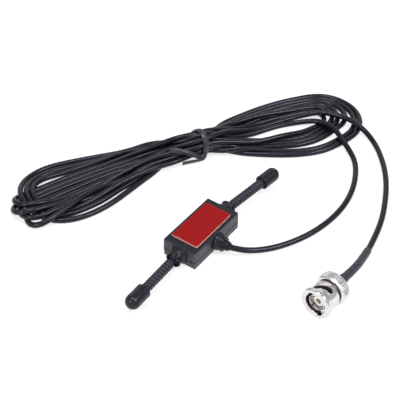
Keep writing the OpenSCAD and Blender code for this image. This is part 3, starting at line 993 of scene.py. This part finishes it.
def sleeve_rings(last_x, sides=48):
    """A round foot in the collar's cup, the neck and the ribs, from the rod's hole to the cap."""
    rings = [ring_x(FOOT_START, ROD_R, sides)]
    foot_end = math.sqrt(FOOT_R**2 - NECK_R**2)
    for k in range(6):
        x = FOOT_START + (foot_end - FOOT_START) * k / 5
        rings.append(ring_x(x, math.sqrt(FOOT_R**2 - x * x), sides))
    neck = foot_end + 0.1
    steps = int((last_x - neck) / (RIB_PITCH / 12))
    for i in range(steps + 1):
        x = neck + (last_x - neck) * i / steps
        rings.append(ring_x(x, 0, sides, wave=lambda angle, x=x: rib_radius(x, angle, last_x)))
    rings.append(ring_x(last_x, ROD_R, sides))
    return rings


def cap_profile(arm_end):
    """A dipped cap from its inside round its rolled mouth, along its straight grip to its round end."""
    mouth, tip = arm_end - CAP_LEN, arm_end + TIP_LEN
    end = tip - CAP_R
    profile = [
        (arm_end, 0), (arm_end, 0.85), (arm_end - 1, 0.85), (arm_end - 1, 2.35), (arm_end - 5, 2.35),
        (arm_end - 5.05, 2.7), (mouth + 0.1, 2.8), (mouth, 2.95), (mouth, 3.3), (mouth + 0.06, 3.44),
        (mouth + 0.2, 3.52), (mouth + 0.6, 3.54), (mouth + 1.2, 3.5), (mouth + 3, 3.47), (mouth + 5, 3.48),
        (end - 0.4, CAP_R),
    ]
    for k in range(1, 12):
        angle = math.radians(8 * k)
        profile.append((end + CAP_R * math.sin(angle), CAP_R * math.cos(angle)))
    return [*profile, (tip, 0)]


def make_arms():
    for side, arm_end in ARM_LEN.items():
        sleeve = skin(sleeve_rings(arm_end - 3.3), loop=True)
        cap = skin(lathe(cap_profile(arm_end), 64))
        body = f"{side}_arm"
        make_piece(f"{side}_collar", skin(collar_rings(), loop=True), AT_COLLAR[side], "gland_rubber")
        make_piece(f"{side}_sleeve", sleeve, AT_ARM[side], "arm_rubber", body, sharp=60)
        make_piece(f"{side}_cap", cap, AT_ARM[side], "cap_rubber", body)


make_arms()

# ---- gland and strain relief ----

BORE_R = CABLE_R + 0.03


def make_gland():
    gland = [
        (-1.95, BORE_R), *FOOT, (0, 4.05), (0.25, 4.2), (0.6, 4.2), (0.9, 4.14), (1.4, 4.04), (1.9, 3.88),
        (2.4, 3.64), (2.8, 3.4), (3.05, 3.27), (3.2, 3.24), (3.32, 3.3), (3.42, 3.5), (3.62, 3.58),
        (3.95, 3.56), (4.12, 3.42), (4.2, 3.1), (4.2, BORE_R),
    ]
    relief = [
        (4.2, BORE_R), (4.2, 2.5), (5.0, 2.48), (5.05, 2.05), (5.3, 2.05), (5.36, 2.32), (6.05, 2.24),
        (6.1, 1.88), (6.35, 1.88), (6.41, 2.08), (6.78, 1.98), (6.8, BORE_R),
    ]
    make_piece("cable_gland", skin(lathe(gland, 72), loop=True), AT_GLAND, "gland_rubber")
    make_piece("strain_relief", turned(relief, 64, 0.14), AT_GLAND, "gland_rubber")


make_gland()

# ---- plug: distances are from its mouth ----

NUT_LEN = 15
KNURL_R = 7.25
KNURL_TEETH = 40
KNURL_DEPTH = 0.26
NUT_SIDES = 4 * KNURL_TEETH
BARREL_R = 6.3
MOUTH_R = 4.9
CAVITY_X = 9.4
CAVITY_R = 5.65
GROOVE_START, GROOVE_END = 8.55, 9.95
# The cam slots: angles of their entry and detent, how far in, half width, and the detent's radius
CAM_START, CAM_END = -33, 27
CAM_X, CAM_RISE = 2.55, 3.4
CAM_HALF = 1.0
DETENT_R = 1.3
# The stretch of the barrel that the cam slots lie on
SLOTS_START, SLOTS_END = 1.2, 8.4


def knurl(angle):
    """Straight teeth with flat tops."""
    return -KNURL_DEPTH * min(1, max(0, 0.55 - math.cos(KNURL_TEETH * angle)))


def nut_surface():
    outer = [
        (0.0, 5.25), (0.0, 6.75), (0.08, 7.0), (0.22, 7.16), (0.45, 7.25), (1.6, 7.25), (1.85, 7.16),
        (2.02, 6.95), (2.1, 6.6), (2.16, 6.38), (2.3, BARREL_R), (4, BARREL_R), (6, BARREL_R), (8.5, BARREL_R),
        (8.62, 6.24), (8.68, 6.0), (8.7, 5.9), (9.85, 5.9), (9.9, 6.1), (9.98, 6.6), (10.15, 6.9),
    ]
    knurled = [(10.45, 7.05, 0.3), *((x, KNURL_R, 1) for x in (10.75, 11.5, 13.5, 14.35)), (14.75, 7.05, 0.3)]
    inner = [
        (14.92, 6.85), (NUT_LEN, 6.6), (NUT_LEN, 5.95), (14.85, CAVITY_R), (13.5, CAVITY_R),
        (13.45, CAVITY_R + 0.4), (12.6, CAVITY_R + 0.4), (12.55, CAVITY_R), (CAVITY_X, CAVITY_R),
        (CAVITY_X, MOUTH_R), (6, MOUTH_R), (3, MOUTH_R), (0.35, MOUTH_R), (0.12, 5.0),
    ]
    rings = lathe(outer, NUT_SIDES)
    for x, r, deep in knurled:
        rings.append(ring_x(x, r, NUT_SIDES, wave=lambda angle, deep=deep: deep * knurl(angle)))
    return skin(rings + lathe(inner, NUT_SIDES), loop=True)


def cam_path(part):
    """A cam slot's middle on the unrolled barrel, from its entry to its detent."""
    angle = math.radians(CAM_START + (CAM_END - CAM_START) * part)
    return Vector((CAM_X + CAM_RISE * math.sin(math.radians(90 * part)) ** 0.9, BARREL_R * angle))


def cam_cutter():
    """A curved bar that follows the cam path and is round and wider at the detent."""
    middle = [cam_path(i / 24) for i in range(25)]
    ahead = (middle[-1] - middle[-2]).normalized()
    run = np.cumsum([0] + [(b - a).length for a, b in zip(middle, middle[1:])])
    stations = list(zip(middle, ways(middle), run - run[-1]))
    for k in range(1, 9):
        extra = DETENT_R * math.sin(math.radians(11 * k))
        stations.append((middle[-1] + ahead * extra, ahead, extra))
    rings = []
    for point, way, past in stations:
        bulge = math.sqrt(max(0, DETENT_R**2 - past**2))
        half = max(CAM_HALF if past <= 0 else 0.02, bulge)
        ring = []
        for radius, side in ((4.6, 1), (4.6, -1), (7.0, -1), (7.0, 1)):
            flat = point + side * half * Vector((-way.y, way.x))
            angle = flat.y / BARREL_R
            ring.append((flat.x, -radius * math.sin(angle), radius * math.cos(angle)))
        rings.append(ring)
    return skin(rings)


def shade_hollows(nut):
    """The groove behind the barrel, the cam slots' walls and the bore are painted a dark nickel, as painted
    shade in the hollows.
    """
    nut.data.materials.append(PAINTS["nickel_painted_shade"])
    to_plug = AT_PLUG.inverted()
    axis = (AT_PLUG.to_3x3() @ Vector((1, 0, 0))).normalized()
    for face in nut.data.polygons:
        x, y, z = to_plug @ face.center
        out = math.hypot(y, z)
        groove = GROOVE_START < x < GROOVE_END and out < BARREL_R - 0.05
        level = face.normal - axis * face.normal.dot(axis)
        outward = (to_plug.to_3x3() @ level).normalized().dot(Vector((0, y, z)).normalized())
        in_wall = MOUTH_R + 0.05 < out < BARREL_R - 0.03
        slot_wall = SLOTS_START < x < SLOTS_END and in_wall and outward < 0.7
        bore = x > 0.5 and out < CAVITY_R + 0.05 and outward < 0.5
        face.material_index = 1 if groove or slot_wall or bore else 0


def about_plug(turn):
    """The plug's place, turned about its axis by an angle in degrees."""
    return AT_PLUG @ Matrix.Rotation(math.radians(turn), 4, "X")


def make_nut():
    nut = solid("coupling_nut_piece", nut_surface(), AT_PLUG)
    for turn in (0, 180):
        carve(nut, cam_cutter(), about_plug(turn))
        carve(nut, bar((-0.6, 3.4), 1.15, 4.2, 5.62), about_plug(turn + CAM_START))
    finish_piece(nut, "nickel", "nut", sharp=40)
    # Painted shade in the nut's groove, slots and bore
    shade_hollows(nut)


make_nut()


def make_contact():
    """The plug's split outer contact."""
    profile = [
        (1.0, 3.62), (0.98, 3.72), (1.05, 3.9), (1.3, 4.0), (2, 4.05), (3.2, 4.02), (5, 4.0), (9, 4.05),
        (12, 4.05), (12, 3.55), (4.5, 3.55), (2.0, 3.55), (1.3, 3.56),
    ]
    obj = solid("outer_contact_piece", skin(lathe(profile, 96), loop=True), AT_PLUG)
    for turn in (35, 125):
        carve(obj, bar((0, 6.5), 0.24, -5, 5), about_plug(turn))
    finish_piece(obj, "nickel", sharp=40)


def make_plug_parts():
    insulator = [
        (4.2, 0.72), (4.2, 1.2), (2.4, 1.3), (2.3, 1.4), (2.3, 2.3), (2.45, 2.42), (3.9, 2.5), (4.0, 2.6),
        (4.0, 3.4), (4.1, 3.5), (12, 3.5), (12, 0.72),
    ]
    ferrule = [
        (16.4, 1.25), (16.4, 1.85), (16.55, 1.95), (17.1, 1.95), (17.25, 1.82), (18.2, 1.82), (18.35, 1.95),
        (18.9, 1.95), (19, 1.85), (19, 1.25),
    ]
    body = [
        (9.45, 4.08), (9.45, 5.5), (9.55, 5.6), (10.5, 5.6), (10.6, 5.5), (10.6, 4.3), (10.75, 4.25),
        (15.2, 4.25), (15.4, 4.1), (15.9, 3.6), (16.2, 3.0), (16.4, 2.6), (16.4, 1.22), (12.02, 1.22),
        (12.02, 4.08),
    ]
    pin = [(12, 0), (12, 0.67), (2.4, 0.67), (2.0, 0.62), (1.7, 0.45), (1.55, 0.25), (1.5, 0)]
    make_piece("insulator", turned(insulator, 64, 0.1), AT_PLUG, "ptfe", sharp=40)
    make_piece("centre_pin", skin(lathe(pin, 32)), AT_PLUG, "gold")
    make_piece("crimp_ferrule", turned(ferrule, 48, 0.06), AT_PLUG, "nickel", sharp=40)
    make_piece("plug_body", turned(body, 72, 0.08), AT_PLUG, "nickel", sharp=40)


make_contact()
make_plug_parts()

# ---- lead, heat-shrink and tie ----

CORD_NODES = ["cord_gland_run", "cord_hank", "cord_plug_run"]


def make_lead():
    """The one long cord from the strain relief to the ferrule."""
    rings = [round_ring(*frame, CABLE_R, 14, 0.5) for frame in untwisted([Vector(p) for p in LEAD])]
    return finish_piece(solid("lead", skin(rings), SIZE), "cable_jacket", sharp=60, replaces=CORD_NODES)


def make_shrink():
    """A sleeve shrunk over the ferrule and the lead behind it, its mouth a little ragged."""
    mouth, back = np.array(PLUG_MOUTH) / MM, np.array(PLUG_BACK)
    last = np.argmin(np.linalg.norm(LEAD - np.array(SHRINK_END), axis=1))
    front = [mouth + back * x for x in (16.9, 17.2, 17.8, 18.4, 18.8)]
    line = smooth_line(front + list(LEAD[last:-1][::-1]), 0.8)
    outer, inner = [], []
    for part in np.linspace(0, 1, len(line)):
        step = 2.28 - 0.36 * min(1, max(0, part - 0.09) / 0.1)
        ripple = 0.03 * math.sin(31 * part) * math.sin(7 * part)
        outer.append(step + ripple - 0.16 * part)
        inner.append(2.0 if part < 0.09 else max(CABLE_R + 0.04, step - 0.4))
    outer[0] -= 0.12
    outer[-1] -= 0.16
    frames = untwisted(line)
    rings = [round_ring(*frame, r, 28) for frame, r in zip(frames + frames[::-1], outer + inner[::-1])]
    make_piece("heat_shrink", skin(rings, loop=True), SIZE, "shrink_tube")


# Half of the tie's flat width and thickness are 1 in this cross-section, which has the wire's ridge
TIE_SHAPE = (
    (-1, 0.5), (-0.9, 1), (-0.35, 1), (-0.2, 2), (0, 2.4), (0.2, 2), (0.35, 1), (0.9, 1), (1, 0.5),
    (1, -0.5), (0.9, -1), (-0.9, -1), (-1, -0.5),
)


def ribbon(line, faces, half_wide, half_thick, loop=False):
    """A flat coated tie with a wire ridge along its middle; faces are the ways that its face looks."""
    rings = []
    for point, way, out in zip(line, ways(line, loop), faces):
        face = (out - way * out.dot(way)).normalized()
        side = way.cross(face)
        rings.append([point + side * (x * half_wide) + face * (y * half_thick) for x, y in TIE_SHAPE])
    return skin(rings, loop)


def off_the_turns(line, clear, rounds=30):
    """Pushes points of a line out of the settled turns, so that it lies on them."""
    moved = np.array([tuple(p) for p in line], float)
    for _ in range(rounds):
        for i, point in enumerate(moved):
            gap = point - LEAD
            far = np.linalg.norm(gap, axis=1)
            close = far < clear
            if close.any():
                push = (gap[close] / far[close, None] * (clear - far[close])[:, None]).sum(0)
                moved[i] += 0.5 * push / max(1, close.sum() / 2)
        moved[1:-1] = 0.5 * moved[1:-1] + 0.25 * (moved[:-2] + moved[2:])
        moved[:, 2] = np.maximum(moved[:, 2], 0.4)
    return [Vector(p) for p in moved]


def tie_spot(along, across, z):
    """A point beside the tie's middle, at a height above the table."""
    return Vector(hank_point(TIE_ALONG + along, TIE_ACROSS + across, z))


def tie_band():
    """The band round the bundle, a little askew."""
    middle = tie_spot(0, 0, TIE_Z)
    along, across = Vector((*ALONG, 0)), Vector((*ACROSS, 0))
    band, faces = [], []
    for k in range(48):
        angle = 2 * math.pi * k / 48
        out = across * math.cos(angle) + Vector((0, 0, math.sin(angle)))
        askew = 1.4 * math.sin(angle) - 0.5 * math.cos(angle) - 0.9
        point = middle + out * (TIE_R + 0.28) + along * askew
        point.z = max(point.z, 0.3)
        band.append(point)
        faces.append(out)
    return ribbon(band, faces, 1.5, 0.2, loop=True)


def tie_twist(phase):
    """One of the tie's two ends, where they are twisted together on the near side."""
    spots = (-0.6, -6.9, 4.6), (-1.4, -7.6, 3.9), (-2.4, -8.1, 3.3), (-3.6, -8.3, 2.8)
    knot = smooth_line([tie_spot(*spot) for spot in spots], 0.35)
    line, faces = [], []
    for i, (point, way) in enumerate(zip(knot, ways(knot))):
        side = way.cross(Vector((0, 0, 1))).normalized()
        up = side.cross(way)
        angle = phase + 2 * math.pi * TWISTS * i / (len(knot) - 1)
        out = side * math.cos(angle) + up * math.sin(angle)
        line.append(point + out * 0.45)
        faces.append(out)
    return ribbon(line, faces, 0.85, 0.225)


def tie_tail(spots):
    """A flat tail that lies on the turns, its face away from the tie's axis."""
    middle, along = tie_spot(0, 0, TIE_Z), Vector((*ALONG, 0))
    line = off_the_turns(smooth_line([tie_spot(*spot) for spot in spots], 0.8), CABLE_R + 0.34)
    outward = [point - middle for point in line]
    faces = [(back - along * back.dot(along)).normalized() for back in outward]
    return ribbon(line, faces, 1.3, 0.2)


TWISTS = 1.6
TIE_TAILS = (
    ((-3.4, -8.2, 3.1), (-6, -7.2, 5.4), (-10, -5.6, 7.6), (-14, -3.6, 9), (-18, -1.6, 9.4)),
    ((-3.4, -8.4, 2.7), (-6.5, -8.6, 3.2), (-10.5, -8.7, 4.2), (-14.5, -8.6, 4.6)),
)


def make_tie():
    tails = [tie_tail(spots) for spots in TIE_TAILS]
    surface = merge(tie_band(), tie_twist(0), tie_twist(math.pi), *tails)
    make_piece("twist_tie", surface, SIZE, "tie_plastic")


lead = make_lead()
make_shrink()
make_tie()

# ---- CAD nodes that keep their own shape ----

CARRIED = {
    "circuit_board": "board", "balun_core": "ferrite", "chip_parts": "chip_ceramic", "feed_strips": "copper",
    "left_terminal": "brass", "right_terminal": "brass", "left_radiator": "spring_steel",
    "right_radiator": "spring_steel", "coax_tail": "cable_jacket", "coax_core": "dielectric",
    "plug_coax": "dielectric", "gasket": "silicone", "spring_washer": "spring_steel",
    "thrust_washer": "nickel", "retaining_ring": "spring_steel",
}
for node, slot in CARRIED.items():
    obj = frame["nodes"][node]
    obj.data.materials.clear()
    obj.data.materials.append(PAINTS[slot])

PIECES_ON_LEAD = [
    "heat_shrink", "twist_tie", "crimp_ferrule", "plug_body", "outer_contact", "insulator", "centre_pin",
    "coupling_nut",
]
NODES_ON_LEAD = ["plug_coax", "gasket", "spring_washer", "thrust_washer", "retaining_ring"]
on_lead = [bpy.data.objects[f"{name}_piece"] for name in PIECES_ON_LEAD]
on_lead += [frame["nodes"][name] for name in NODES_ON_LEAD]

# ---- floor and light ----

FLOOR_HALF = 3.0


def make_floor():
    mesh = bpy.data.meshes.new("floor")
    corners = [(x * FLOOR_HALF, y * FLOOR_HALF, 0) for x, y in ((-1, -1), (1, -1), (1, 1), (-1, 1))]
    mesh.from_pydata(corners, [], [(0, 1, 2, 3)])
    floor = bpy.data.objects.new("floor", mesh)
    bpy.context.scene.collection.objects.link(floor)
    paint = Paint("floor", (0.3, 0.3, 0.3), 0.7, specular=0.1)
    paint.mottle(120, (0.31, 0.31, 0.31), 0.5)
    paint.set({"Emission Color": (1, 1, 1, 1), "Emission Strength": 0.72})
    mesh.materials.append(paint.material)


def make_light(name, where, size, power):
    """A soft rectangular light, turned towards a point beside the box."""
    data = bpy.data.lights.new(name, "AREA")
    data.shape = "RECTANGLE"
    data.size, data.size_y = size
    data.energy = power
    light = bpy.data.objects.new(name, data)
    light.location = where
    light.rotation_mode = "QUATERNION"
    light.rotation_quaternion = (Vector((0.03, 0.0, 0.0)) - Vector(where)).to_track_quat("-Z", "Y")
    bpy.context.scene.collection.objects.link(light)


def make_world():
    """A pale room that is lighter on the camera's side than on the far side."""
    world = bpy.data.worlds.new("studio")
    world.use_nodes = True
    tree = world.node_tree
    coords = tree.nodes.new("ShaderNodeTexCoord").outputs["Generated"]
    to_camera = (-math.cos(CAMERA_WAY), -math.sin(CAMERA_WAY), 0)
    toward = add_node(tree, "VectorMath", {0: coords, 1: to_camera}, operation="DOT_PRODUCT").outputs["Value"]
    inputs = {"From Min": -0.2, "From Max": 0.7, "To Min": 0.5, "To Max": 0.85, "Value": toward}
    bright = add_node(tree, "MapRange", inputs).outputs["Result"]
    fill(tree, tree.nodes["Background"], {"Color": (1, 1, 1, 1), "Strength": bright})
    bpy.context.scene.world = world
    bpy.context.scene.view_settings.view_transform = "Standard"


make_floor()
make_light("key", (0.12, -0.5, 0.6), (0.4, 0.13), 3.2)
make_light("top", (-0.05, 0.05, 0.8), (0.16, 0.4), 2.8)
make_light("left", (-0.6, 0.15, 0.4), (0.14, 0.24), 1.4)
make_light("backdrop", (0.8, 0.58, 0.62), (1.4, 0.7), 1.7)
make_world()
